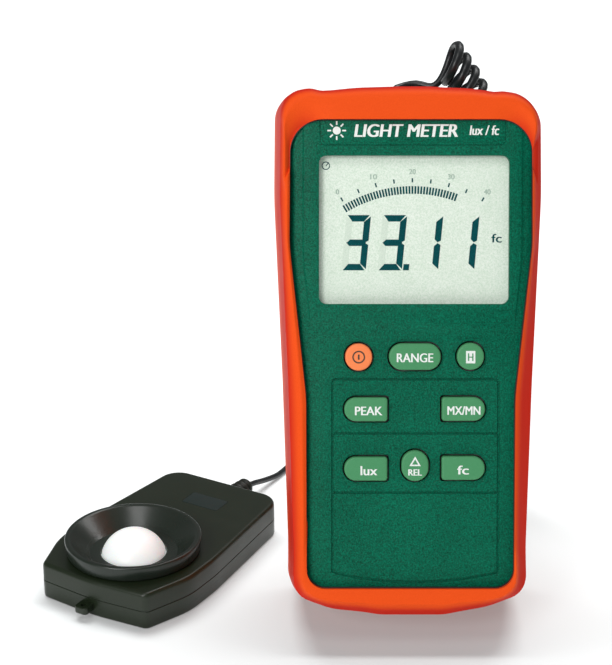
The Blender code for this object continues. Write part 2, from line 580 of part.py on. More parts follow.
def build_head():
    outline = rounded(HEAD_CORNERS)
    inside = grown(outline, -HEAD_WALL)
    posts = [(44, 13.5), (44, -13.5), (-14.5, 15.5), (-14.5, -15.5)]
    cord_hole = rod("head_cord_hole", (40, -1.2, HEAD_SPLIT), (60, -1.2, HEAD_SPLIT), 2.9, parent=HEAD, sides=12)

    lower = slab("head_lower_shell", outline, 0, HEAD_SPLIT - SPLIT_GAP, "black", HEAD, flat=True)
    bevel(lower, 0.8, 1, lambda p: p.z < 0.01)
    boolean(lower, "DIFFERENCE", slab("head_lower_inside", inside, HEAD_WALL, 20, parent=HEAD, flat=True))
    lug = slab("tether_lug", rectangle(5.0, 4.6, 1.2, -24.4, 1.2), 2.2, 4.4, parent=HEAD, flat=True)
    boolean(lower, "UNION", lug)
    boolean(lower, "DIFFERENCE", rod("tether_hole", (-24.9, 1.2, -2), (-24.9, 1.2, 8), 0.8, parent=HEAD, sides=8))

    upper = slab("head_upper_shell", outline, HEAD_SPLIT + SPLIT_GAP, HEAD_HEIGHT, "black", HEAD, flat=True)
    bevel(upper, 1.0, 2, lambda p: p.z > HEAD_HEIGHT - 0.01)
    boolean(upper, "DIFFERENCE",
            slab("head_upper_inside", inside, 2, HEAD_HEIGHT - HEAD_WALL, parent=HEAD, flat=True))
    for i, (x, y) in enumerate(posts):
        boolean(lower, "UNION", rod(f"head_low_post_{i}", (x, y, 1), (x, y, 5.6), 2.6, parent=HEAD, sides=12))
        boolean(lower, "DIFFERENCE", rod(f"head_low_hole_{i}", (x, y, -3), (x, y, 9), 1.2, parent=HEAD, sides=8),
                rod(f"head_low_sink_{i}", (x, y, -3), (x, y, 1.7), 2.1, parent=HEAD, sides=12))
        boolean(upper, "UNION", rod(f"head_up_post_{i}", (x, y, 6.5), (x, y, 11), 2.6, parent=HEAD, sides=12))
        boolean(upper, "DIFFERENCE", rod(f"head_up_hole_{i}", (x, y, 3), (x, y, 9.8), 1.2, parent=HEAD, sides=8))
    boolean(lower, "DIFFERENCE", cord_hole)
    boolean(upper, "DIFFERENCE", cord_hole)
    boolean(upper, "DIFFERENCE", rod("collar_hole", (0, 0, 8), (0, 0, 15), COLLAR_HOLE, parent=HEAD, sides=32))
    label = slab("label_recess", rectangle(7.6, 13.6, 0.8, 39.5, -0.5), HEAD_HEIGHT - 0.6, 15, parent=HEAD, flat=True)
    boolean(upper, "DIFFERENCE", label)

    rim, top = COLLAR_RIM
    seat = HEAD_HEIGHT + FIT
    turned("light_collar", [(rim - 0.5, top), (rim, top - 0.5), (rim - 0.7, seat), (COLLAR_HOLE - 0.4, seat),
                            (COLLAR_HOLE - 0.4, 9.8), (DOME_RADIUS + 0.4, 9.8), (DOME_RADIUS + 0.4, 11.3),
                            (13.6, 11.3), (rim - 1.6, top)], "black", HEAD, steps=32)
    sphere = ((DOME_TOP - 11.5) ** 2 + DOME_RADIUS**2) / (2 * (DOME_TOP - 11.5))
    centre = DOME_TOP - sphere
    span = math.asin(DOME_RADIUS / sphere)
    cap = [(sphere * math.sin(span * k / 7), centre + sphere * math.cos(span * k / 7)) for k in range(8)]
    cap[0] = (0, DOME_TOP)
    turned("diffuser_dome", [*cap, (DOME_RADIUS, 9.5), (12.6, 9.5), (12.6, 8.3), (0, 8.3)], "white", HEAD)
    turned("spectral_filter", [(0, 8.0), (8, 8.0), (8, 6.6), (0, 6.6)], "filter_glass", HEAD)
    turned("photodiode", [(0, 6.3), (4.2, 6.3), (4.2, 5.4), (5, 5.4), (5, 4.6), (0, 4.6)], "steel", HEAD, steps=20)
    slab("head_circuit_board", rectangle(44, 28, 1.5, 14, 0), 3.0, 4.3, "board", HEAD, flat=True)
    slab("head_label", rectangle(7, 13, 0.6, 39.5, -0.5), HEAD_HEIGHT - 0.3, HEAD_HEIGHT + 0.05, "black", HEAD, flat=True)
    for i, (x, y) in enumerate(posts):
        screw_of(f"head_screw_{i + 1}", (x, y, 1.4), (0, 0, -1), HEAD, 1.8, 1.0, 0.9, 7.0, 10)
    relief = ribbed(3.4, 2.6, 10.2, 3, 2.5, 5.2)
    turned("head_strain_relief", relief, "black", HEAD, (1, 0, 0), (53.0, -1.2, HEAD_SPLIT), 16)


build_front_case()
build_rear_case()
build_holster()
build_display()
build_electronics()
build_battery()
for i, (x, z) in enumerate(POSTS):
    screw_of(f"case_screw_{i + 1}", (x, 14.9, z), (0, 1, 0), METER, 2.3, 1.6, 1.1, 19.0, 10)
build_keys()
build_stand()
build_lead()
build_head()
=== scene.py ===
import json
import math

import bmesh
import bpy
import numpy as np
from mathutils import Matrix, Vector


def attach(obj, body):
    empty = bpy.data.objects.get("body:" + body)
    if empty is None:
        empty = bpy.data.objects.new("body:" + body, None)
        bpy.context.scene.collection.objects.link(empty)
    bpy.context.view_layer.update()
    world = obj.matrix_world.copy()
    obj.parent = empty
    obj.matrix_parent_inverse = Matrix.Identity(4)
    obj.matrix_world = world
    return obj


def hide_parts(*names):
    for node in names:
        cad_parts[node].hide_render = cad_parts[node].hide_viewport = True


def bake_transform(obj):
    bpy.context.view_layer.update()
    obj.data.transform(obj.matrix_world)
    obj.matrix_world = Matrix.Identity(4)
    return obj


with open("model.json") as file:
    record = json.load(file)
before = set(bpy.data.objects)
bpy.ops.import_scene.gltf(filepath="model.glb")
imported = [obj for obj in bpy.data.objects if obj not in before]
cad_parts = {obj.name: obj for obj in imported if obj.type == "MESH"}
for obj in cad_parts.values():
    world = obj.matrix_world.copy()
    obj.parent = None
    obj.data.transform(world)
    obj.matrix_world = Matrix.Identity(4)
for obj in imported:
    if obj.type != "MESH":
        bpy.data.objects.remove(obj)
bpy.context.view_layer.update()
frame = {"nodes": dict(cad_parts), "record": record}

# The looks of a light meter in a rubber holster on its tilt stand, with its sensor head on a curly lead.
# Sizes are in millimetres in two frames, as in the CAD: the meter's (x across, y into its depth with the face at -y,
# z up its length) and the head's (x towards its lead, z up). The lead is in the row's own frame.

MM = 0.001
METER = Matrix.Translation((0.036, -0.0294, 0.0049)) @ Matrix.Rotation(math.radians(-20), 4, "X")
HEAD = Matrix.Translation((-0.0484, -0.0079, 0)) @ Matrix.Rotation(math.radians(59.7), 4, "Z")
ROW = Matrix.Identity(4)
UPRIGHT = Matrix.Rotation(math.pi / 2, 4, "X")  # takes a drawing in x and y to one in x and z that faces -y
FINE = 6.0  # degrees in each piece of a rounded corner


# Camera, lights and floor

def camera():
    data = bpy.data.cameras.new("camera")
    data.sensor_width = 36
    data.lens = 97.44
    data.clip_start = 0.01
    made = bpy.data.objects.new("camera", data)
    bpy.context.scene.collection.objects.link(made)
    made.location = (0.00514, -0.50001, 0.28647)
    made.rotation_euler = (math.radians(67.7), 0, 0)
    bpy.context.scene.camera = made


def light(name, place, target, size, power, only=None):
    """An area light, which lights only one object if it is given."""
    data = bpy.data.lights.new(name, "AREA")
    data.shape = "RECTANGLE"
    data.size, data.size_y = size
    data.energy = power
    made = bpy.data.objects.new(name, data)
    bpy.context.scene.collection.objects.link(made)
    made.location = place
    made.rotation_euler = (Vector(target) - Vector(place)).to_track_quat("-Z", "Y").to_euler()
    if only:
        group = bpy.data.collections.new(name + "_lights")
        group.objects.link(only)
        made.light_linking.receiver_collection = group


LIGHTS = [  # name, place, target, size, power
    ("key", (-0.62, -0.98, 0.72), (0.02, 0, 0.06), (0.45, 0.45), 8.2),
    ("front", (-0.14, -0.40, 1.0), (-0.03, 0, 0.03), (0.34, 0.34), 2.4),
    ("top", (0.28, 0.46, 0.98), (0, 0, 0.03), (0.5, 0.5), 4.0),
    ("back", (0.62, 0.35, 0.75), (-0.03, 0, 0.02), (0.35, 0.35), 0.8),
]


def studio():
    scene = bpy.context.scene
    world = bpy.data.worlds.new("studio")
    scene.world = world
    world.use_nodes = True
    back = world.node_tree.nodes["Background"]
    back.inputs["Color"].default_value = (0.97, 0.98, 1, 1)
    back.inputs["Strength"].default_value = 0.2
    scene.view_settings.view_transform = "Standard"
    for settings in LIGHTS:
        light(*settings)
    mesh = bpy.data.meshes.new("floor")
    work = bmesh.new()
    bmesh.ops.create_grid(work, x_segments=1, y_segments=1, size=3)
    work.to_mesh(mesh)
    work.free()
    floor = bpy.data.objects.new("floor", mesh)
    scene.collection.objects.link(floor)
    made = bpy.data.materials.new("floor")
    made.use_nodes = True
    shader = made.node_tree.nodes["Principled BSDF"]
    shader.inputs["Base Color"].default_value = (0.29, 0.30, 0.30, 1)
    shader.inputs["Roughness"].default_value = 0.9
    shader.inputs["Specular IOR Level"].default_value = 0.1
    shader.inputs["Emission Color"].default_value = (1, 1, 1, 1)
    shader.inputs["Emission Strength"].default_value = 0.25
    mesh.materials.append(made)
    light("table", (0.05, 0.70, 1.80), (0, 0, 0), (1.8, 0.75), 104, floor)


# Materials: colours from two tones mixed by noise, with fine relief

def shader(name, tones, roughness, grain=None, relief=0.0, spread=0.08, metallic=0.0, patches=9.0, deep=None,
           **sockets):
    """A procedural material.

    tones are the darker and the lighter colour. grain is the size of the fine texture and patches that of the broad
    one, both in millimetres, and relief is how much the fine texture stands out. deep is a darker colour
    painted on as shade, which takes over between two depths into the meter and fades again between two more.
    sockets go straight to the shader.
    """
    made = bpy.data.materials.new(name)
    made.use_nodes = True
    nodes, links = made.node_tree.nodes, made.node_tree.links
    out = nodes["Principled BSDF"]
    place = nodes.new("ShaderNodeTexCoord")
    broad = nodes.new("ShaderNodeTexNoise")
    broad.inputs["Scale"].default_value = 1000 / patches
    broad.inputs["Detail"].default_value = 2
    links.new(place.outputs["Object"], broad.inputs["Vector"])
    tone = nodes.new("ShaderNodeMix")
    tone.data_type = "RGBA"
    tone.inputs["A"].default_value = (*tones[0], 1)
    tone.inputs["B"].default_value = (*tones[1], 1)
    source = broad.outputs["Fac"]
    if grain:
        fine = nodes.new("ShaderNodeTexNoise")
        fine.inputs["Scale"].default_value = 1000 / grain
        fine.inputs["Detail"].default_value = 3
        fine.inputs["Roughness"].default_value = 0.6
        links.new(place.outputs["Object"], fine.inputs["Vector"])
        sharp = nodes.new("ShaderNodeMapRange")
        sharp.inputs["From Min"].default_value = 0.35
        sharp.inputs["From Max"].default_value = 0.68
        links.new(fine.outputs["Fac"], sharp.inputs["Value"])
        blend = nodes.new("ShaderNodeMix")
        blend.inputs["Factor"].default_value = 0.3
        links.new(sharp.outputs["Result"], blend.inputs["A"])
        links.new(broad.outputs["Fac"], blend.inputs["B"])
        source = blend.outputs["Result"]
        if relief:
            bump = nodes.new("ShaderNodeBump")
            bump.inputs["Strength"].default_value = relief
            bump.inputs["Distance"].default_value = grain * 0.4 * MM
            links.new(fine.outputs["Fac"], bump.inputs["Height"])
            links.new(bump.outputs["Normal"], out.inputs["Normal"])
    links.new(source, tone.inputs["Factor"])
    colour = tone.outputs["Result"]
    # painted shade: the colour turns to a darker one over a band of depths, where the holster's sides turn away from
    # the light
    if deep:
        into = METER.col[1].to_3d()
        apart = nodes.new("ShaderNodeVectorMath")
        apart.operation = "DOT_PRODUCT"
        apart.inputs[1].default_value = into
        links.new(place.outputs["Object"], apart.inputs[0])
        share = nodes.new("ShaderNodeMath")
        share.operation = "MULTIPLY"
        for k, (low, high) in enumerate((deep[1:3], deep[:2:-1])):
            depth = nodes.new("ShaderNodeMapRange")
            depth.interpolation_type = "SMOOTHSTEP"
            depth.inputs["From Min"].default_value = low * MM + into.dot(METER.translation)
            depth.inputs["From Max"].default_value = high * MM + into.dot(METER.translation)
            links.new(apart.outputs["Value"], depth.inputs["Value"])
            links.new(depth.outputs["Result"], share.inputs[k])
        shade_mix = nodes.new("ShaderNodeMix")
        shade_mix.data_type = "RGBA"
        shade_mix.inputs["B"].default_value = (*deep[0], 1)
        links.new(share.outputs["Value"], shade_mix.inputs["Factor"])
        links.new(colour, shade_mix.inputs["A"])
        colour = shade_mix.outputs["Result"]
    links.new(colour, out.inputs["Base Color"])
    rough = nodes.new("ShaderNodeMapRange")
    rough.inputs["To Min"].default_value = roughness - spread
    rough.inputs["To Max"].default_value = roughness + spread
    links.new(broad.outputs["Fac"], rough.inputs["Value"])
    links.new(rough.outputs["Result"], out.inputs["Roughness"])
    out.inputs["Metallic"].default_value = metallic
    for socket, value in sockets.items():
        out.inputs[socket.replace("_", " ")].default_value = value
    return made


LOOKS = {
    "case_green": dict(tones=((0.000, 0.036, 0.019), (0.000, 0.215, 0.117)), roughness=0.32, grain=0.42, relief=1.0,
        Specular_IOR_Level=0.12, patches=20),
    # the holster's sides get a darker red painted on as shade, over a band of depths into the meter
    "holster_orange": dict(tones=((0.86, 0.080, 0.010), (0.92, 0.098, 0.013)), roughness=0.5, grain=0.35, relief=0.06,
        patches=14, deep=((0.64, 0.024, 0.010), -19.4, -16.8, -14.0, 4.0), Specular_IOR_Level=0.05),
    "key_green": dict(tones=((0.060, 0.270, 0.110), (0.078, 0.315, 0.138)), roughness=0.5, grain=0.25, relief=0.08,
        Specular_IOR_Level=0.3),
    "key_orange": dict(tones=((0.98, 0.24, 0.075), (1.0, 0.27, 0.090)), roughness=0.5, grain=0.25, relief=0.08,
        Specular_IOR_Level=0.3),
    "clear": dict(tones=((0.0, 0.02, 0.015), (0.0, 0.03, 0.02)), roughness=0.08, spread=0.02, Alpha=0.02,
        Specular_IOR_Level=0.15),
    # the display glows a little: painted light that brightens the LCD
    "display": dict(tones=((0.62, 0.76, 0.61), (0.94, 1.0, 0.91)), roughness=0.6, grain=0.5, relief=0.0, patches=6,
        Specular_IOR_Level=0.1, Emission_Color=(0.92, 1, 0.9, 1), Emission_Strength=0.05),
    "segments": dict(tones=((0.000, 0.052, 0.062), (0.000, 0.092, 0.098)), roughness=0.5, grain=0.4,
        Specular_IOR_Level=0.1),
    "labels": dict(tones=((0.38, 0.50, 0.42), (0.50, 0.62, 0.52)), roughness=0.5, grain=0.4, Specular_IOR_Level=0.1),
    "ghosts": dict(tones=((0.68, 0.80, 0.67), (0.82, 0.92, 0.80)), roughness=0.5, grain=0.4, Specular_IOR_Level=0.1),
    "print_white": dict(tones=((0.82, 0.86, 0.82), (0.92, 0.95, 0.92)), roughness=0.5, grain=0.2, relief=0.05),
    "print_dark": dict(tones=((0.05, 0.03, 0.02), (0.09, 0.05, 0.03)), roughness=0.5, grain=0.2, relief=0.05),
    "black": dict(tones=((0.010, 0.010, 0.010), (0.022, 0.022, 0.021)), roughness=0.5, grain=0.4, relief=0.12),
    "head_black": dict(tones=((0.008, 0.014, 0.006), (0.015, 0.023, 0.010)), roughness=0.33, grain=0.3, relief=0.10,
        Specular_IOR_Level=0.4),
    "collar_black": dict(tones=((0.011, 0.017, 0.012), (0.018, 0.025, 0.018)), roughness=0.30, grain=0.3, relief=0.03,
        Specular_IOR_Level=0.45),
    "head_label": dict(tones=((0.014, 0.024, 0.022), (0.022, 0.034, 0.030)), roughness=0.33, grain=0.4, relief=0.05,
        Specular_IOR_Level=0.3),
    "lead": dict(tones=((0.008, 0.010, 0.011), (0.016, 0.019, 0.020)), roughness=0.34, grain=0.6, relief=0.06,
        Specular_IOR_Level=0.4),
    "relief": dict(tones=((0.014, 0.016, 0.012), (0.024, 0.026, 0.020)), roughness=0.45, grain=0.4, relief=0.1,
        Specular_IOR_Level=0.3),
    # the dome glows: painted light that brightens the white diffuser
    "white": dict(tones=((0.93, 0.96, 0.94), (0.97, 0.99, 0.98)), roughness=0.4, grain=0.5, relief=0.03,
        Subsurface_Weight=0.2, Subsurface_Scale=0.004, Emission_Color=(0.95, 1, 0.97, 1), Emission_Strength=0.26),
    "steel": dict(tones=((0.42, 0.42, 0.43), (0.60, 0.60, 0.61)), roughness=0.32, grain=0.3, relief=0.1,
        metallic=1.0),
    "board": dict(tones=((0.008, 0.11, 0.035), (0.02, 0.19, 0.06)), roughness=0.4, grain=0.9, relief=0.08),
    "grey": dict(tones=((0.22, 0.22, 0.22), (0.32, 0.32, 0.31)), roughness=0.55, grain=0.4, relief=0.1),
    "red": dict(tones=((0.45, 0.02, 0.02), (0.60, 0.035, 0.03)), roughness=0.45, grain=0.4, relief=0.05),
    "filter_glass": dict(tones=((0.16, 0.36, 0.28), (0.26, 0.50, 0.40)), roughness=0.1, spread=0.04),
}
LOOKS = {name: shader(name, **values) for name, values in LOOKS.items()}


# Outlines

def rounded(corners, step=FINE):
    """The closed outline through (x, y, radius) corners, with each one turned into an arc."""
    found = []
    for i, (x, y, radius) in enumerate(corners):
        here = Vector((x, y))
        before = Vector(corners[i - 1][:2]) - here
        after = Vector(corners[(i + 1) % len(corners)][:2]) - here
        reach = 0.49 * min(before.length, after.length)
        before.normalize()
        after.normalize()
        turn = math.pi - before.angle(after)
        if turn < 1e-4:
            found.append(here)
            continue
        tangent = min(radius * math.tan(turn / 2), reach)
        radius = tangent / math.tan(turn / 2)
        centre = here + (before + after).normalized() * (radius / math.cos(turn / 2))
        start = here + before * tangent - centre
        side = 1 if before.x * after.y - before.y * after.x < 0 else -1
        pieces = max(5, math.ceil(math.degrees(turn) / step))
        for k in range(pieces + 1):
            found.append(centre + Matrix.Rotation(side * turn * k / pieces, 2) @ start)
    return [(p.x, p.y) for p in found]


def both_sides(half):
    return [*half, *[(-x, z, radius) for x, z, radius in reversed(half)]]


def grown(outline, by):
    count = len(outline)
    points = [Vector(p) for p in outline]
    area = sum(points[i - 1].x * points[i].y - points[i].x * points[i - 1].y for i in range(count))
    found = []
    for i, here in enumerate(points):
        sides = [(here - points[i - 1]).normalized(), (points[(i + 1) % count] - here).normalized()]
        normals = [Vector((s.y, -s.x)) * (1 if area > 0 else -1) for s in sides]
        middle = (normals[0] + normals[1]).normalized()
        found.append(here + middle * (by / max(0.3, middle.dot(normals[0]))))
    return [(p.x, p.y) for p in found]


def rectangle(width, height, radius, x=0.0, z=0.0, step=FINE):
    right, left, top, low = x + width / 2, x - width / 2, z + height / 2, z - height / 2
    return rounded([(right, low, radius), (right, top, radius), (left, top, radius), (left, low, radius)], step)


def circle(radius, x=0.0, z=0.0, sides=64):
    turns = [2 * math.pi * k / sides for k in range(sides)]
    return [(x + radius * math.cos(t), z + radius * math.sin(t)) for t in turns]


# Meshes

def piece(name, mesh, matrix, look, body, *nodes, angle=35.0):
    """A mesh as a piece that rides on a body and stands for CAD nodes."""
    made = bpy.data.objects.new(name, mesh)
    bpy.context.scene.collection.objects.link(made)
    mesh.transform(matrix)
    mesh.materials.clear()
    mesh.materials.append(LOOKS[look])
    mesh.shade_smooth()
    mesh.set_sharp_from_angle(angle=math.radians(angle))
    if body:
        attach(made, body)
        if nodes:
            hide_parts(*nodes)
    return made


def skin(rings, loop=False):
    """A closed mesh through rings of as many points each: capped, or joined back to the first ring."""
    mesh = bpy.data.meshes.new("skin")
    work = bmesh.new()
    rows = [[work.verts.new([v * MM for v in point]) for point in ring] for ring in rings]
    pairs = list(zip(rows, rows[1:])) + ([(rows[-1], rows[0])] if loop else [])
    for near, far in pairs:
        for i in range(len(near)):
            work.faces.new((near[i - 1], near[i], far[i], far[i - 1]))
    if not loop:
        work.faces.new(rows[0])
        work.faces.new(rows[-1])
    bmesh.ops.recalc_face_normals(work, faces=work.faces)
    work.to_mesh(mesh)
    work.free()
    return mesh


def slab(outline, low, high, flat=False, edge=0.0, both=True):
    """An outline with thickness, in x and z between two depths or flat between two heights, with rounded rims."""
    levels = [(low, 0.0), (high, 0.0)]
    if edge:
        arc = [(1 - math.cos(t), 1 - math.sin(t)) for t in (0, math.pi / 8, math.pi / 4, 3 * math.pi / 8, math.pi / 2)]
        start = [(low + edge * up, edge * into) for into, up in reversed(arc)]
        stop = [(high - edge * up, edge * into) for into, up in arc]
        levels = start + (stop if both else [(high, 0.0)])
    rings = []
    for level, into in levels:
        ring = grown(outline, -into) if into else outline
        rings.append([(x, y, level) if flat else (x, level, y) for x, y in ring])
    return skin(rings)


def spun(profile, steps=96):
    """A profile of (radius, height) points turned round z. One that starts and ends off the axis is a ring."""
    loop = profile[0][0] > 0
    rings = []
    for radius, height in profile:
        radius = max(radius, 0.001)
        turns = [2 * math.pi * k / steps for k in range(steps)]
        rings.append([(radius * math.cos(t), radius * math.sin(t), height) for t in turns])
    return skin(rings, loop)


def cut(mesh, *cutters, operation="DIFFERENCE"):
    """A mesh with others cut out of it or joined to it."""
    for cutter in cutters:
        pair = []
        for data in (mesh, cutter):
            made = bpy.data.objects.new("work", data)
            bpy.context.scene.collection.objects.link(made)
            pair.append(made)
        modifier = pair[0].modifiers.new("cut", "BOOLEAN")
        modifier.operation = operation
        modifier.object = pair[1]
        bpy.context.view_layer.update()
        mesh = bpy.data.meshes.new_from_object(pair[0].evaluated_get(bpy.context.evaluated_depsgraph_get()))
        for made in pair:
            bpy.data.objects.remove(made)
    return mesh


def soften(made, width, segments=2, angle=40.0):
    """Small rounds on the sharp edges of a piece."""
    modifier = made.modifiers.new("edges", "BEVEL")
    modifier.width = width * MM
    modifier.segments = segments
    modifier.limit_method = "ANGLE"
    modifier.angle_limit = math.radians(angle)
    modifier.harden_normals = True
    modifier.miter_outer = "MITER_ARC"


def lettering(text, width, height, x, z, y, thickness=0.05, lean=0.0, bold=0.12):
    """Text fitted to a width and height, standing in x and z round a point and facing -y. bold thickens its strokes."""
    data = bpy.data.curves.new("text", "FONT")
    data.body = text
    data.extrude = 0.5
    data.shear = lean
    data.resolution_u = 4
    made = bpy.data.objects.new("text", data)
    bpy.context.scene.collection.objects.link(made)
    bpy.context.view_layer.update()
    mesh = bpy.data.meshes.new_from_object(made.evaluated_get(bpy.context.evaluated_depsgraph_get()))
    bpy.data.objects.remove(made)
    points = np.empty(len(mesh.vertices) * 3)
    mesh.vertices.foreach_get("co", points)
    points = points.reshape(-1, 3)
    low, high = points.min(0), points.max(0)
    points = (points - (low + high) / 2) / (high - low) * (width - bold, height, thickness)
    points = np.stack([points[:, 0] + x, y - thickness / 2 - points[:, 2], points[:, 1] + z], 1) * MM
    mesh.vertices.foreach_set("co", points.ravel())
    mesh.update()
    if not bold:
        return mesh
    copies = [mesh.copy(), mesh]
    for copy, shift in zip(copies, (-bold / 2, bold / 2)):
        copy.transform(Matrix.Translation((shift * MM, 0.004 * MM * (shift > 0), 0)))
    return joined(*copies)


def joined(*meshes):
    work = bmesh.new()
    for mesh in meshes:
        work.from_mesh(mesh)
    mesh = bpy.data.meshes.new("joined")
    work.to_mesh(mesh)
    work.free()
    return mesh


# The holster

# outlines of the right half, as (x, z, radius) corners
CASE_CORNERS = [(10, 3.0, 20), (22, 4.9, 30), (31.8, 8.3, 5), (31.8, 64, 60), (36, 104, 60), (36, 149.6, 8),
                (18, 151.2, 90)]
HOLSTER_CORNERS = [(10, 0, 20), (23, 2.6, 40), (35.1, 6.8, 7), (37.2, 68, 200), (39.7, 122, 150), (39.4, 152.8, 9),
                   (18, 153.8, 90)]
# the share of its full width that the holster has at each depth
HOLSTER_WIDTHS = [(-19.7, 0.940), (-18.3, 0.945), (-10, 0.978), (0, 1), (10, 0.992), (17.6, 0.968), (20, 0.96)]
FACE_OPENING = [(30, 8.2, 5.5), (30.2, 64, 60), (35.0, 108, 50), (34.8, 144.2, 9.5)]
TOP_BOW = [(-40, 1.0), (-36.3, 0.6), (-33, 0.1), (-30, 0), (-27, -0.8), (-24, -0.8), (-20, -0.6), (-15, -0.3), (-5, 0),
           (5, 0), (10, -0.3), (16, -0.5), (20, -0.7), (25.5, -1.2), (28, -0.9), (31.6, -1.2), (34.7, -1.6),
           (37.8, -2.0), (40, -2.0)]  # what the top edge gains in height at each x
LIP_FRONT = -19.7
CENTRE = np.array((0.0, 77.0))
CASE = rounded(both_sides(CASE_CORNERS))


def cast(outline, turns):
    """The outline's points straight out from the centre at each angle."""
    near = np.array(outline) - CENTRE
    far = np.roll(near, -1, axis=0)
    found = []
    for turn in turns:
        ahead = np.array((math.cos(turn), math.sin(turn)))
        side = np.array((-ahead[1], ahead[0]))
        a, b = near @ side, far @ side
        hit = (a <= 0) != (b <= 0)
        share = a[hit] / (a[hit] - b[hit])
        away = ((near[hit] + (far[hit] - near[hit]) * share[:, None]) @ ahead).max()
        found.append(CENTRE + ahead * away)
    return np.array(found)


def drawn_in(points, by):
    """The points moved towards the centre by a distance."""
    away = points - CENTRE
    return CENTRE + away * (1 - by / np.linalg.norm(away, axis=1))[:, None]


def ease(value, low, high):
    """0 below low, 1 above high and smooth between them."""
    t = np.clip((value - low) / (high - low), 0, 1)
    return t * t * (3 - 2 * t)


def evenly(outline, count):
    points = np.array([*outline, outline[0]])
    along = np.concatenate([[0], np.cumsum(np.linalg.norm(np.diff(points, axis=0), axis=1))])
    at = np.linspace(0, along[-1], count, endpoint=False)
    return np.stack([np.interp(at, along, points[:, k]) for k in range(2)], 1)


def holster():
    outer = rounded(both_sides(HOLSTER_CORNERS))
    around = evenly(outer, 560) - CENTRE
    turns = np.arctan2(around[:, 1], around[:, 0])
    turns = np.sort(turns)
    edge = cast(outer, turns)
    mouth = cast(rounded(both_sides(FACE_OPENING)), turns)
    inside = cast(grown(CASE, 0.3), turns)
    window = cast(rectangle(49.8, 101.1, 2, 0, 53.95), turns)
    # the boot sits a little to one side of the case, and its top edge bows between its two shoulders
    x, z = edge[:, 0].copy(), edge[:, 1].copy()
    bow = np.interp(x, *zip(*TOP_BOW))
    edge[:, 1] += bow * ease(z, 138, 148)
    heel = 1 - ease(z, 4, 22)
    edge[:, 0] -= np.where(x < 0, 0.7 + 0.5 * heel, 0.75 * (1 - heel)) * ease(abs(x), 8, 20)
    edge[:, 1] -= np.where(x < 0, 1.0, 0.3) * heel * ease(abs(x), 12, 26)
    mouth[:, 0] -= np.where(mouth[:, 0] < 0, 0.65, 0.4)

    def wide(points, depth):
        scale = np.interp(depth, *zip(*HOLSTER_WIDTHS))
        return np.stack([points[:, 0] * scale, np.broadcast_to(depth, scale.shape if np.ndim(scale) else len(points)),
                         points[:, 1]], 1)

    # the lip: how much of its width the front facet takes, and how far back the outer facet goes
    top, low = ease(z, 141, 150), ease(-z, -13, -4)
    crest = 0.30 + 0.38 * top + 0.24 * low
    drop = 2.7 + 0.9 * top + 1.6 * low
    guard = ease(z, 125, 130) * ease(abs(x), 22, 34)
    crest = crest + 0.2 * guard * (1 - top)
    right = ease(x, 24, 35) * (1 - top) * (1 - 0.7 * low)
    crest = crest * (1 - 0.95 * right)
    drop = drop + 2.4 * right
    rim = wide(edge, LIP_FRONT + drop)
    lips = []
    for t in np.linspace(0, 1, 17):
        across = t ** 0.9
        flat = mouth + (rim[:, [0, 2]] - mouth) * across
        beyond = np.clip((across - crest) / (1 - crest), 0, None)
        height = LIP_FRONT + drop * beyond ** (1.15 + 0.75 * top - 0.35 * right) + 0.10 * (1 - ease(across, 0, 0.25))
        # corner guards: inside their ridge the lip slopes down to the mouth, and stops at a slanting crease
        crease = ease(flat[:, 1], 129.6 - 7.3 * across, 130.7 - 7.3 * across)
        guard = crease * ease(abs(flat[:, 0]), 22, 34)
        height = height + guard * 2.1 * np.clip(1 - across / 0.62, 0, 1)
        height = height + (1 - crease) * (1 - low) * 0.55 * np.clip(1 - across / 0.2, 0, 1)
        lips.append(np.stack([flat[:, 0], np.maximum(height, LIP_FRONT), flat[:, 1]], 1))
    rings = [np.stack([mouth[:, 0], np.full(len(mouth), -17.72), mouth[:, 1]], 1),
             np.stack([mouth[:, 0], lips[0][:, 1] + 0.35, mouth[:, 1]], 1)]
    rings += lips
    for share in (0.04, 0.1, 0.2, 0.35, 0.5, 0.65, 0.8, 0.92):
        depth = (LIP_FRONT + drop) * (1 - share) + 17.4 * share
        rings.append(wide(edge, depth))
    for depth, into in ((17.9, 0.05), (18.6, 0.3), (19.2, 0.75), (19.7, 1.35), (19.95, 2.0), (20.0, 2.6)):
        rings.append(wide(drawn_in(edge, into), depth))
    for depth, out in ((20.0, 0.5), (19.85, 0.15), (19.5, 0.0), (17.8, 0.0)):
        ring = drawn_in(window, -out)
        rings.append(np.stack([ring[:, 0], np.full(len(ring), depth), ring[:, 1]], 1))
    for depth, into in ((17.8, 3.2), (16.8, 1.0), (14.6, 0), (-14.6, 0), (-16.8, 1.0), (-17.75, 3.2)):
        ring = drawn_in(inside, into)
        if depth < -17:
            close = np.linalg.norm(ring - CENTRE, axis=1) < np.linalg.norm(mouth - CENTRE, axis=1) + 0.3
            ring = np.where(close[:, None], CENTRE + (mouth - CENTRE) * 1.006, ring)
        rings.append(np.stack([ring[:, 0], np.full(len(ring), depth), ring[:, 1]], 1))
    mesh = skin([[tuple(p) for p in ring] for ring in rings], loop=True)
    notch = slab(rectangle(52, 34, 2.0, 0, 155, 15), 3, 30, edge=1.5)
    mesh = cut(mesh, notch)
    flatten(mesh)
    piece("holster_boot", mesh, METER, "holster_orange", "meter", "holster", angle=32)
    # a black strip in the gap between the lip and the face: painted shade standing in for the dark of that gap
    shadow_strip = [[(x, y, z) for x, z in drawn_in(mouth, into)]
             for into, y in ((-0.6, -17.7), (0.3, -17.7), (0.3, -16.4), (-0.6, -16.4))]
    piece("mouth_shadow_strip", skin(shadow_strip, loop=True), METER, "black", "meter")


def flatten(mesh):
    """Nothing goes below the table: the meter's foot is laid flat on it with a soft edge."""
    back = METER.inverted()
    for vertex in mesh.vertices:
        place = METER @ vertex.co
        if place.z < MM:
            place.z = max(place.z + MM, 0) ** 2 / (4 * MM)
            vertex.co = back @ place


# The case and its face

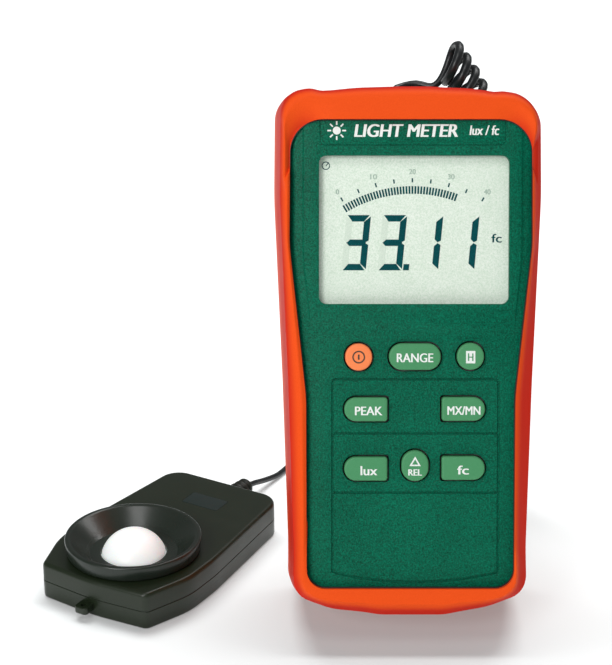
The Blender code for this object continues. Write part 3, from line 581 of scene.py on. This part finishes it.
KEYS = [
    ("key_power", -15.6, 75.6, 8.5, 8.5, "round", "key_orange"),
    ("key_range", 0.7, 75.7, 15.7, 8.4, "round", "key_green"),
    ("key_hold", 16.8, 75.8, 8.5, 8.5, "round", "key_green"),
    ("key_peak", -13.5, 60.4, 13.2, 7.6, "left", "key_green"),
    ("key_max_min", 14.8, 60.5, 13.2, 7.6, "right", "key_green"),
    ("key_lux", -13.5, 43.1, 13.2, 7.6, "left", "key_green"),
    ("key_relative", 0.8, 44.0, 8.5, 9.6, "round", "key_green"),
    ("key_footcandle", 14.8, 43.3, 13.2, 7.6, "right", "key_green"),
]
FACE = -17.5
KEYPAD = -16.7  # the face steps back below the display


def key_outline(width, height, shape, gap=0.0, x=0.0, z=0.0):
    width, height = width - 2 * gap, height - 2 * gap
    full = min(width, height) / 2 - 0.01
    left = full if shape in ("round", "left") else 0.9
    right = full if shape in ("round", "right") else 0.9
    a, b = width / 2, height / 2
    found = rounded([(a, -b, right), (a, b, right), (-a, b, left), (-a, -b, left)])
    return [(p + x, q + z) for p, q in found]


def groove(points, width, depth):
    """A cutter along a line of (x, z) points on the keypad's face."""
    line = [Vector(p) for p in points]
    left, right = [], []
    for i, here in enumerate(line):
        ahead = (line[min(i + 1, len(line) - 1)] - line[max(i - 1, 0)]).normalized()
        side = Vector((-ahead.y, ahead.x)) * width / 2
        left.append(tuple(here + side))
        right.append(tuple(here - side))
    return slab(left + right[::-1], KEYPAD - 1, KEYPAD + depth)


def front_case():
    edge = [(4.8, 0), (4.6, 0.05), (4.4, 0.2), (4.15, 0.42), (3.9, 0.52), (3.2, 0.6), (2.4, 0.70), (1.6, 0.95),
            (0.8, 1.5), (0.25, 2.3), (0, 3.2)]
    rings = [(into, FACE + down) for into, down in edge] + [(0, -0.15)]
    mesh = skin([[(x, level, z) for x, z in (grown(CASE, -into) if into else CASE)] for into, level in rings])
    step = skin([[(-50, FACE - 5, -5), (50, FACE - 5, -5), (50, FACE - 5, 92), (-50, FACE - 5, 92)],
                 [(-50, FACE - 0.001, -5), (50, FACE - 0.001, -5), (50, FACE - 0.001, 88.5), (-50, FACE - 0.001, 88.5)],
                 [(-50, KEYPAD, -5), (50, KEYPAD, -5), (50, KEYPAD, 80.5), (-50, KEYPAD, 80.5)]])
    inside = slab(grown(CASE, -2), -15.5, 1)
    cutters = [step, inside, slab(rectangle(55.0, 42.9, 2.2, 0.4, 112.4), -25, -5),
               slab(rectangle(53.8, 24, 1.8, 0, 148.7), -25, FACE + 0.3)]
    for _, x, z, width, height, shape, _ in KEYS:
        cutters.append(slab(key_outline(width, height, shape, -0.15, x, z), -25, -5))
    side, top, corner, middle, off = 24.1, 69.1, 12.7, 9.8, 1.0
    sag = corner - middle
    radius = (side * side + sag * sag) / (2 * sag)
    bow = [(off + side * k / 12, middle + radius - math.sqrt(radius**2 - (side * k / 12) ** 2))
           for k in range(12, -13, -1)]
    left, right = off - side, off + side
    ring = [(right, top - 1), (right - 0.3, top - 0.3), (right - 1, top),
            (left + 1, top), (left + 0.3, top - 0.3), (left, top - 1)]
    cutters.append(groove([*ring, (left, 40), *reversed(bow)], 0.75, 0.55))
    cutters.append(groove([(right, top - 1.2), (right, 40), bow[0]], 0.75, 0.55))
    for z in (53.3, 36.0):
        cutters.append(groove([(left, z), (right, z)], 0.7, 0.5))
    mesh = cut(mesh, *cutters)
    made = piece("face_shell", mesh, METER, "case_green", "meter", "front_case", angle=30)
    soften(made, 0.22, 2, 35)


def keys():
    legends = {
        "key_range": ("RANGE", 10.6, 2.6, 0, -0.3),
        "key_peak": ("PEAK", 8.0, 2.5, 0.8, -0.4),
        "key_max_min": ("MX/MN", 9.6, 2.5, 0.1, -0.4),
        "key_lux": ("lux", 4.9, 2.7, 0.9, -0.5),
        "key_footcandle": ("fc", 3.4, 2.6, -0.1, -0.5),
        "key_relative": ("REL", 4.0, 1.8, 0, -1.9),
    }
    top = -0.8
    for name, x, z, width, height, shape, look in KEYS:
        place = METER @ Matrix.Translation((x * MM, FACE * MM, z * MM))
        outline = key_outline(width, height, shape, 0.32)
        rings = []
        for level, into in ((2.9, 0), (0.6, 0), (-0.35, 0.02), (-0.58, 0.10), (-0.72, 0.26), (-0.78, 0.45), (top, 0.7)):
            rings.append([(a, level, b) for a, b in (grown(outline, -into) if into else outline)])
        body = name + "_body"
        piece(name + "_cap", skin(rings), place, look, body, name, angle=50)
        if name in legends:
            text, wide, tall, right, up = legends[name]
            piece(name + "_legend", lettering(text, wide, tall, right, up, top, bold=0.18), place, "print_white", body)
        if name == "key_hold":
            plate = slab(rectangle(2.7, 3.6, 0.15, 0, -0.2), top - 0.05, top + 0.2)
            piece("key_hold_legend", plate, place, "print_white", body)
            piece("key_hold_letter", lettering("H", 1.6, 2.2, 0, -0.2, top - 0.05), place, "key_green", body)
        if name == "key_power":
            ring = [(1.85, 0.05), (1.85, -0.2), (1.45, -0.2), (1.45, 0.05)]
            mesh = spun([(r, h) for r, h in ring], 48)
            mesh.transform(Matrix.Translation((0, top * MM, 0)) @ UPRIGHT)
            bar = slab(rectangle(0.5, 1.5, 0.1, 0, 0), top - 0.05, top + 0.2)
            piece("key_power_symbol", joined(mesh, bar), place, "print_dark", body)
        if name == "key_relative":
            big = [(-1.65, -0.05), (1.65, -0.05), (0, 2.75)]
            small = grown(big, -0.42)
            rings = [[(a, top - 0.05, b) for a, b in big], [(a, top - 0.05, b) for a, b in small],
                     [(a, top + 0.2, b) for a, b in small], [(a, top + 0.2, b) for a, b in big]]
            piece("key_relative_triangle", skin(rings, loop=True), place, "print_white", body)


# The display

def segment(outline, level):
    return slab(outline, level - 0.04, level + 0.01)


def digit(lit, x, z, level, lean=0.095):
    """The segments of one slanting seven-segment digit whose cell starts at x and z; lit is a string of a to g."""
    wide, tall, bar, gap = 7.1, 16.0, 1.85, 0.14
    half = tall / 2
    shapes = {
        "a": [(0.2 * bar, tall), (wide - 0.2 * bar, tall), (wide - bar, tall - bar), (bar, tall - bar)],
        "d": [(0.2 * bar, 0), (bar, bar), (wide - bar, bar), (wide - 0.2 * bar, 0)],
        "g": [(0.35 * bar, half), (0.85 * bar, half + bar / 2), (wide - 0.85 * bar, half + bar / 2),
              (wide - 0.35 * bar, half), (wide - 0.85 * bar, half - bar / 2), (0.85 * bar, half - bar / 2)],
        "b": [(wide, tall - 0.2 * bar), (wide, half + 0.35 * bar), (wide - 0.5 * bar, half + 0.12),
              (wide - bar, half + 0.55 * bar), (wide - bar, tall - bar - gap)],
        "c": [(wide, half - 0.35 * bar), (wide, 0.2 * bar), (wide - bar, bar + gap), (wide - bar, half - 0.55 * bar),
              (wide - 0.5 * bar, half - 0.12)],
    }
    shapes["f"] = [(wide - a, b) for a, b in reversed(shapes["b"])]
    shapes["e"] = [(wide - a, b) for a, b in reversed(shapes["c"])]
    found = []
    for name in lit:
        points = [(x + a + lean * b, z + b) for a, b in shapes[name]]
        found.append(segment(points, level))
    return found


def radial(centre, radius, turn, width, length, level):
    """A small bar pointing away from a centre, at an angle from upright."""
    out = Vector((math.sin(turn), math.cos(turn)))
    side = Vector((out.y, -out.x)) * width / 2
    middle = centre + out * radius
    ends = (middle - out * length / 2, middle + out * length / 2)
    points = [ends[0] - side, ends[0] + side, ends[1] + side, ends[1] - side]
    return segment([tuple(p) for p in points], level)


def display():
    level = -15.02
    piece("display_panel", slab(rectangle(58, 46, 0.5, 0.3, 112.5), -15.0, -12.8, edge=0.1), METER, "display", "meter",
          "display_glass")
    piece("display_pane", slab(rectangle(54.6, 42.5, 2, 0.4, 112.4), -17.1, -15.6, edge=0.25), METER, "clear", "meter",
          "display_window")
    base = 100.7
    lit = digit("abcdg", -20.6, base, level) + digit("abcdg", -10.1, base, level) + digit("bc", 0.4, base, level) \
        + digit("bc", 10.9, base, level)
    lit.append(segment([(-2.7, base), (-1.0, base), (-0.8, base + 1.8), (-2.5, base + 1.8)], level))
    centre = Vector((0, 86.1))
    bar_radius, tick_radius, label_radius = 37.9, 40.7, 43.2
    ticks = math.radians(7.55)
    for k in range(40):
        lit.append(radial(centre, bar_radius, math.radians(-31 + 50.4 * k / 39), 0.52, 2.2, level))
    for k in range(9):
        lit.append(radial(centre, tick_radius, ticks * (k - 4), 0.42, 1.2, level))
    lit.append(lettering("fc", 3.0, 2.5, 24.5, 110.0, level))
    ring = spun([(1.2, 0.04), (1.2, -0.01), (0.95, -0.01), (0.95, 0.04)], 40)
    ring.transform(Matrix.Translation((-25.1 * MM, level * MM, 131.0 * MM)) @ UPRIGHT)
    lit += [ring, segment([(-25.2, 130.9), (-25.0, 130.8), (-24.2, 131.9), (-24.4, 132.1)], level)]
    piece("display_segments", joined(*lit), METER, "segments", "meter")
    faint = digit("ef", -20.6, base, level) + digit("ef", -10.1, base, level)
    piece("display_unlit", joined(*faint), METER, "ghosts", "meter")
    marks = []
    for k, text in enumerate(("0", "10", "20", "30", "40")):
        turn = 2 * ticks * (k - 2)
        x, z = label_radius * math.sin(turn), centre.y + label_radius * math.cos(turn)
        marks.append(lettering(text, 1.0 if k == 0 else 2.0, 1.5, x, z, level))
    piece("display_scale", joined(*marks), METER, "labels", "meter")


def badge():
    """A plain title in place of a maker's: a sun and the kind of instrument."""
    face = -17.42
    plate = slab(rectangle(53.2, 7.3, 1, 0, 140.6), face, -17.0, edge=0.05)
    piece("badge", plate, METER, "case_green", "meter", "badge_plate")
    parts = [spun([(1.15, 0.05), (1.15, -0.05), (0.001, -0.05), (0.001, 0.05)], 40)]
    sun = Vector((-22.0, 141.0))
    parts[0].transform(Matrix.Translation((sun.x * MM, face * MM, sun.y * MM)) @ UPRIGHT)
    for k in range(8):
        turn = math.pi / 4 * k
        out = Vector((math.sin(turn), math.cos(turn)))
        side = Vector((out.y, -out.x)) * 0.22
        a, b = sun + out * 1.6, sun + out * 2.7
        parts.append(slab([tuple(p) for p in (a - side, a + side, b + side, b - side)], face - 0.05, face + 0.05))
    parts.append(lettering("LIGHT METER", 30.0, 3.7, -2.0, 141.0, face, lean=0.15, bold=0.36))
    parts.append(lettering("lux / fc", 8.6, 2.8, 20.6, 141.1, face, lean=0.15, bold=0.2))
    piece("badge_title", joined(*parts), METER, "print_white", "meter")


# The sensor head

HEAD_CORNERS = [(52.8, -21.6, 7), (52.6, 20.6, 7), (8, 25.2, 60), (-6, 25.0, 25), (-21.4, 19.4, 2.6),
                (-23.0, 0, 60), (-21.4, -19.4, 2.6), (-6, -25.0, 25), (8, -25.2, 60)]


def sensor_head():
    outline = rounded(HEAD_CORNERS, 4)
    posts = [(44, 13.5), (44, -13.5), (-14.5, 15.5), (-14.5, -15.5)]
    cord = spun([(0.001, 62), (2.9, 62), (2.9, 40), (0.001, 40)], 32)
    cord.transform(Matrix.Translation((0, -1.2 * MM, 6 * MM)) @ Matrix.Rotation(math.pi / 2, 4, "Y"))

    def levels(pairs):
        return skin([[(x, y, level) for x, y in (grown(outline, -into) if into else outline)] for level, into in pairs])

    lower = levels([(0, 0.75), (0.15, 0.4), (0.45, 0.14), (0.9, 0.02), (5.8, 0), (5.93, 0.12)])
    cutters = [slab(grown(outline, -1.8), 1.8, 20, flat=True), cord.copy()]
    for x, y in posts:
        cutters.append(slab(circle(2.1, x, y, 24), -3, 1.2, flat=True))
    lower = cut(lower, *cutters)
    tab = slab(rectangle(5.0, 4.6, 1.2, -24.4, 1.2), 2.2, 4.4, flat=True, edge=0.3)
    lug = cut(tab, slab(circle(0.8, -24.9, 1.2, 24), -2, 8, flat=True))
    lower = cut(lower, lug, operation="UNION")
    piece("head_base", lower, HEAD, "head_black", "sensor_head", "head_lower_shell", angle=35)
    upper = levels([(6.02, 0.12), (6.15, 0), (10.6, 0.05), (11.1, 0.13), (11.5, 0.32), (11.8, 0.62), (11.95, 0.95),
                    (12.0, 1.4)])
    cutters = [slab(grown(outline, -1.8), 2, 10.2, flat=True), cord, slab(circle(15, 0, 0, 96), 8, 15, flat=True),
               slab(rectangle(7.6, 13.6, 0.8, 37.6, -1.8), 11.8, 15, flat=True)]
    upper = cut(upper, *cutters)
    piece("head_cover", upper, HEAD, "head_black", "sensor_head", "head_upper_shell", angle=35)
    seat = 12.3
    dish = [(13.6, 11.3), (15.6, 13.2), (17.6, 15.1), (19.2, 16.6), (19.55, 16.9), (19.9, 17.0), (20.5, 17.0),
            (20.85, 16.93), (21.1, 16.7), (21.2, 16.4), (21.1, 15.0), (20.75, 12.9), (20.6, 12.45), (20.3, seat),
            (14.6, seat), (14.6, 9.8), (10.2, 9.8), (10.2, 11.15), (10.3, 11.3)]
    collar = piece("dish", spun(dish[::-1], 128), HEAD, "collar_black", "sensor_head", "light_collar", angle=40)
    light("rim", (0.6, 0.2, 0.6), HEAD.translation, (0.2, 0.3), 5.0, collar)
    sphere = 10.41
    cap = [(sphere * math.sin(t), 7.99 + sphere * math.cos(t)) for t in np.linspace(0.0, 1.225, 26)]
    piece("dome", spun([*cap, (9.8, 9.5), (12.6, 9.5), (12.6, 8.3), (0.001, 8.3)], 96), HEAD, "white", "sensor_head",
          "diffuser_dome", angle=50)
    plate = slab(rectangle(7.4, 13.4, 0.7, 37.6, -1.8), 11.85, 12.05, flat=True, edge=0.05)
    piece("head_plate", plate, HEAD, "head_label", "sensor_head", "head_label")
    relief = ribs(3.5, 2.7, 11.0, 4, 2.5, 5.2)
    mesh = spun(relief, 48)
    mesh.transform(Matrix.Translation((53.0 * MM, -1.2 * MM, 6 * MM)) @ Matrix.Rotation(math.pi / 2, 4, "Y"))
    piece("strain_relief", mesh, HEAD, "relief", "sensor_head", "head_strain_relief", angle=45)


# one rib and the gap beside it: the share of the pitch and how far in from the root's radius
RIB = [(0.12, 0.0), (0.45, 0.0), (0.56, 0.15), (0.62, 0.6), (0.68, 0.72), (0.88, 0.72), (0.94, 0.6), (1.0, 0.15)]


def ribs(root, tip, length, count, stem_radius, stem):
    """The profile of a tapering strain relief with round ribs."""
    found = [(0.001, length), (1.35, length), (tip - 0.45, length - 0.1), (tip, length - 0.5)]
    pitch = (length - 1.2) / count
    for k in range(count):
        height = length - 0.5 - pitch * k
        radius = tip + (root - tip) * (k + 1) / count
        for share, depth in RIB:
            found.append((radius - depth, height - pitch * share))
    return [*found, (root, 0.25), (root, 0), (stem_radius, 0), (stem_radius, -stem), (0.001, -stem)]


# The lead

GLAND_SEAT = (-4.0, 13.0, 146.7)
TAIL_ROUTE = [(32.2, 45.8, 143.3), (33.4, 48.6, 143.9), (35.8, 50.0, 144.3), (39.5, 50.2, 144.9), (43.0, 49.0, 144.4)]
COIL_ROUTE = [(49.6, 46.8, 153.2), (53.9, 46.6, 146.4), (58.2, 46.6, 137), (62.4, 46.6, 122), (66.2, 46.6, 100),
              (67.4, 46.6, 75), (67.6, 46.8, 50), (66.8, 48.2, 28), (62.6, 53.3, 13.5), (53.9, 61.3, 7.6),
              (42.4, 68.3, 6.8), (29.4, 72.8, 6.8)]
STRAIGHT_ROUTE = [(27.4, 73.4, 6.6), (21.4, 76.4, 3.4), (13.4, 78.2, 1.35), (6.0, 77.4, 1.25), (1.2, 74.2, 1.25),
                  (-1.8, 69.4, 1.25), (-4.6, 64.0, 1.4), (-8.6, 57.6, 2.7), (-13.6, 48.8, 5.6)]


COIL_RADIUS = 5.4
COIL_PITCHES = (4.1, 3.3)
COIL_LEAN = Vector((0.88, 0.0, -0.48))
CURL_RADIUS, TAIL_RADIUS, STRAIGHT_RADIUS = 1.4, 1.1, 0.95  # of the lead itself, along its stretches


def route(points, spacing):
    """Points about a spacing apart on the smooth curve through the route's own points."""
    way = [Vector(p) for p in points]
    ends = [2 * way[0] - way[1], *way, 2 * way[-1] - way[-2]]
    found = [way[0]]
    for a, b, c, d in zip(ends, ends[1:], ends[2:], ends[3:]):
        pieces = max(1, round((c - b).length / spacing))
        for k in range(1, pieces + 1):
            t = k / pieces
            found.append(0.5 * (2 * b + (c - a) * t + (2 * a - 5 * b + 4 * c - d) * t**2
                                + (3 * b - a - 3 * c + d) * t**3))
    return found


def helix(axis, radius, pitches, start, lean, per_turn=18):
    """A coil round an axis of close points.

    Its pitch goes from the first to the second over the first stretch, and its turns lean towards a direction at the
    start before they stand square to the axis.
    """
    lengths = np.concatenate([[0], np.cumsum([(b - a).length for a, b in zip(axis, axis[1:])])])
    total = lengths[-1]
    along, turn = 0.0, start
    side = None
    found = []
    while along < total:
        i = min(int(np.searchsorted(lengths, along, side="right")) - 1, len(axis) - 2)
        share = (along - lengths[i]) / (lengths[i + 1] - lengths[i])
        place = axis[i].lerp(axis[i + 1], share)
        ahead = (axis[i + 1] - axis[i]).normalized()
        upright = float(ease(along, 0, 22))
        ahead = lean.lerp(ahead, upright).normalized()
        if side is None:
            side = Vector((0, -1, 0))
        side = (side - ahead * side.dot(ahead)).normalized()
        other = ahead.cross(side)
        size = radius * (0.45 + 0.55 * float(ease(total - along, 0, 2.5)))
        found.append(place + (side * math.cos(turn) + other * math.sin(turn)) * size)
        pitch = pitches[0] + (pitches[1] - pitches[0]) * float(ease(along, 14, 34))
        turn += 2 * math.pi / per_turn
        along += pitch / per_turn
    return found


def lead():
    axis = Vector((0, 1, 1)).normalized()
    seat = Vector(GLAND_SEAT) + axis * 0.3
    mesh = spun(ribs(3.4, 2.2, 9.0, 4, 2.3, 6.0), 48)
    mesh.transform(Matrix.Translation(seat * MM) @ Vector((0, 0, 1)).rotation_difference(axis).to_matrix().to_4x4())
    piece("gland", mesh, METER, "relief", "meter", "lead_gland", angle=45)
    tip = (METER @ ((seat + axis * 9.0) * MM)) / MM
    coil = helix(route(COIL_ROUTE, 2.0), COIL_RADIUS, COIL_PITCHES, -2.2, COIL_LEAN)
    line = [tip - (METER.to_3x3() @ axis) * 0.6, *route(TAIL_ROUTE, 2.0)]
    line += smooth_join(line[-2:], coil[:2])
    first = len(line)
    line += coil
    last = len(line)
    rest = route(STRAIGHT_ROUTE, 2.5)
    end = HEAD @ Vector((63.3 * MM, -1.2 * MM, 6 * MM)) / MM
    line += smooth_join(coil[-2:], rest[3:5])
    line += rest[3:-1]
    line.append(end)
    data = bpy.data.curves.new("lead", "CURVE")
    data.dimensions = "3D"
    data.bevel_depth = MM
    data.bevel_resolution = 4
    data.use_fill_caps = True
    spline = data.splines.new("POLY")
    spline.points.add(len(line) - 1)
    for k, (point, place) in enumerate(zip(spline.points, line)):
        point.co = (*[v * MM for v in place], 1)
        # the curls look fuller than the plain lead
        curls = float(ease(k, first - 8, first + 4) * (1 - ease(k, last - 4, last + 8)))
        plain = STRAIGHT_RADIUS if k > last else TAIL_RADIUS
        point.radius = plain * (1 - curls) + CURL_RADIUS * curls
    spline.use_smooth = True
    curve = bpy.data.objects.new("lead", data)
    bpy.context.scene.collection.objects.link(curve)
    bpy.context.view_layer.update()
    mesh = bpy.data.meshes.new_from_object(curve.evaluated_get(bpy.context.evaluated_depsgraph_get()))
    bpy.data.objects.remove(curve)
    made = piece("lead_cord", mesh, ROW, "lead", None, angle=50)
    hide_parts("lead_tail", "lead_coil", "lead_straight")
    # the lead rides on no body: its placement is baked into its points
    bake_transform(made)


def smooth_join(before, after, spacing=1.2):
    """Points that lead from one stretch into the next, without their ends."""
    a, b = before[-1], after[0]
    reach = (b - a).length * 0.4
    p = a + (before[-1] - before[-2]).normalized() * reach
    q = b - (after[1] - after[0]).normalized() * reach
    pieces = max(2, round((b - a).length / spacing))
    found = []
    for k in range(1, pieces):
        t = k / pieces
        found.append(a * (1 - t) ** 3 + p * 3 * t * (1 - t) ** 2 + q * 3 * t * t * (1 - t) + b * t**3)
    return found


# What keeps its CAD shape

def carried_over():
    """Looks and small rounds on the CAD nodes that still show."""
    special = {
        "tilt_stand": ("holster_orange", 0.35),
        "rear_case": ("case_green", 0.25),
        "battery_cover": ("case_green", 0.2),
        "cover_screw": ("steel", 0.15),
        "stand_hinge_pin": ("steel", 0.15),
    }
    slots = {sub["node"]: sub["material_slot"] for sub in frame["record"]["subparts"]}
    for name, node in frame["nodes"].items():
        if node.hide_render:
            continue
        look, width = special.get(name, (slots[name], 0.12))
        node.data.materials.clear()
        node.data.materials.append(LOOKS.get(look, LOOKS["black"]))
        soften(node, width, 2, 40)


camera()
studio()
lead()
holster()
front_case()
keys()
display()
badge()
sensor_head()
carried_over()
